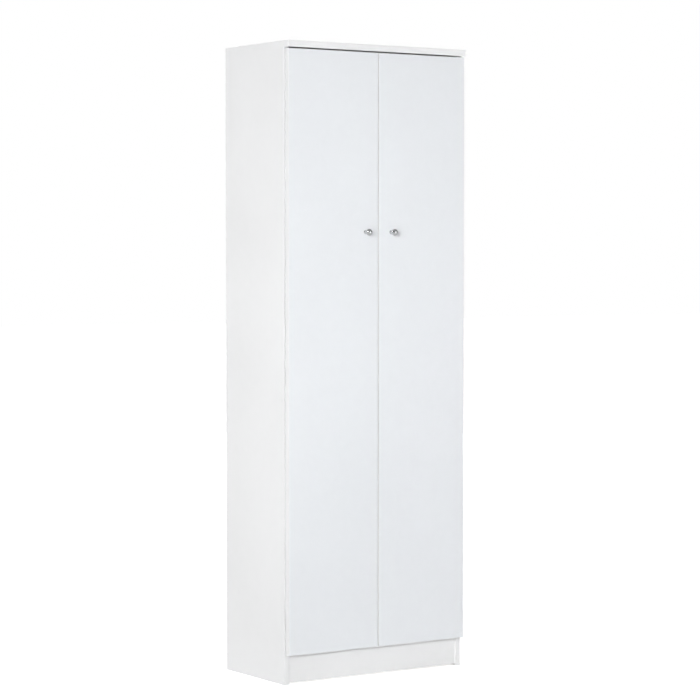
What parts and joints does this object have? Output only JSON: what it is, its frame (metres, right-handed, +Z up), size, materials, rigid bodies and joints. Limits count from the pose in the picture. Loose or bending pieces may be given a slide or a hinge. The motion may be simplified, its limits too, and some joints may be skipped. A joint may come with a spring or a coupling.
{
  "type": "pantry cabinet",
  "caption": "Tall white two-door pantry cabinet of flat-pack board: concealed hinges, round chrome knobs, fixed and adjustable shelves, recessed plinth board.",
  "frame": {"origin": "Centre of the bounding box at floor level.", "axes": "+Z up; the doors face -Y; +X is to the viewer's right when facing the doors; the left side of the cabinet is -X."},
  "size_m": [0.61, 0.362, 1.8],
  "materials": {
    "melamine_white": "satin white melamine on particle board",
    "door_white": "satin white melamine on particle board, banded edges",
    "hardboard_white": "white lacquered hardboard, bare brown outside",
    "white_plastic": "white extruded plastic",
    "clear_plastic": "soft translucent plastic",
    "zinc_steel": "bright zinc plated",
    "zinc_diecast": "grey zinc die casting",
    "nickel_steel": "nickel plated pressed steel",
    "chrome": "polished chrome plate",
    "beech": "bare beech"
  },
  "bodies": {
    "carcass": {"left_side_panel": "melamine_white", "right_side_panel": "melamine_white", "top_panel": "melamine_white", "base_panel": "melamine_white", "kickboard": "melamine_white", "fixed_shelf": "melamine_white", "lower_shelf": "melamine_white", "middle_shelf": "melamine_white", "upper_shelf": "melamine_white", "shelf_pins": "nickel_steel", "left_back_panel": "hardboard_white", "right_back_panel": "hardboard_white", "back_joiner_strip": "white_plastic", "back_nails": "zinc_steel", "cam_discs": "zinc_diecast", "cam_bolts": "zinc_steel", "wood_dowels": "beech", "kick_brackets": "zinc_steel", "kick_bracket_screws": "zinc_steel", "wall_brackets": "zinc_steel", "wall_bracket_screws": "zinc_steel", "left_hinge_plates": "nickel_steel", "left_plate_screws": "zinc_steel", "left_hinge_arms": "nickel_steel", "left_arm_screws": "zinc_steel", "left_arm_pins": "zinc_steel", "right_hinge_plates": "nickel_steel", "right_plate_screws": "zinc_steel", "right_hinge_arms": "nickel_steel", "right_arm_screws": "zinc_steel", "right_arm_pins": "zinc_steel"},
    "left_links": {"left_hinge_links": "nickel_steel"},
    "left_door": {"left_door": "door_white", "left_knob": "chrome", "left_knob_screw": "zinc_steel", "left_hinge_cups": "nickel_steel", "left_cup_screws": "zinc_steel", "left_cup_pins": "zinc_steel", "left_door_bumpers": "clear_plastic"},
    "right_links": {"right_hinge_links": "nickel_steel"},
    "right_door": {"right_door": "door_white", "right_knob": "chrome", "right_knob_screw": "zinc_steel", "right_hinge_cups": "nickel_steel", "right_cup_screws": "zinc_steel", "right_cup_pins": "zinc_steel", "right_door_bumpers": "clear_plastic"}
  },
  "joints": [
    {"name": "left_link_swing", "type": "hinge", "parent": "carcass", "child": "left_links", "pos_m": [-0.2749, -0.135, 0.932], "axis": [0, 0, 1], "range_deg": [0, 28.6]},
    {"name": "left_door_swing", "type": "hinge", "parent": "left_links", "child": "left_door", "pos_m": [-0.2957, -0.1458, 0.932], "axis": [0, 0, -1], "range_deg": [0, 123.5]},
    {"name": "right_link_swing", "type": "hinge", "parent": "carcass", "child": "right_links", "pos_m": [0.2749, -0.135, 0.932], "axis": [0, 0, -1], "range_deg": [0, 28.6]},
    {"name": "right_door_swing", "type": "hinge", "parent": "right_links", "child": "right_door", "pos_m": [0.2957, -0.1458, 0.932], "axis": [0, 0, 1], "range_deg": [0, 123.5]}
  ],
  "couplings": [
    {"joint": "left_link_swing", "follows": "left_door_swing", "ratio": 0.23077},
    {"joint": "right_link_swing", "follows": "right_door_swing", "ratio": 0.23077}
  ]
}
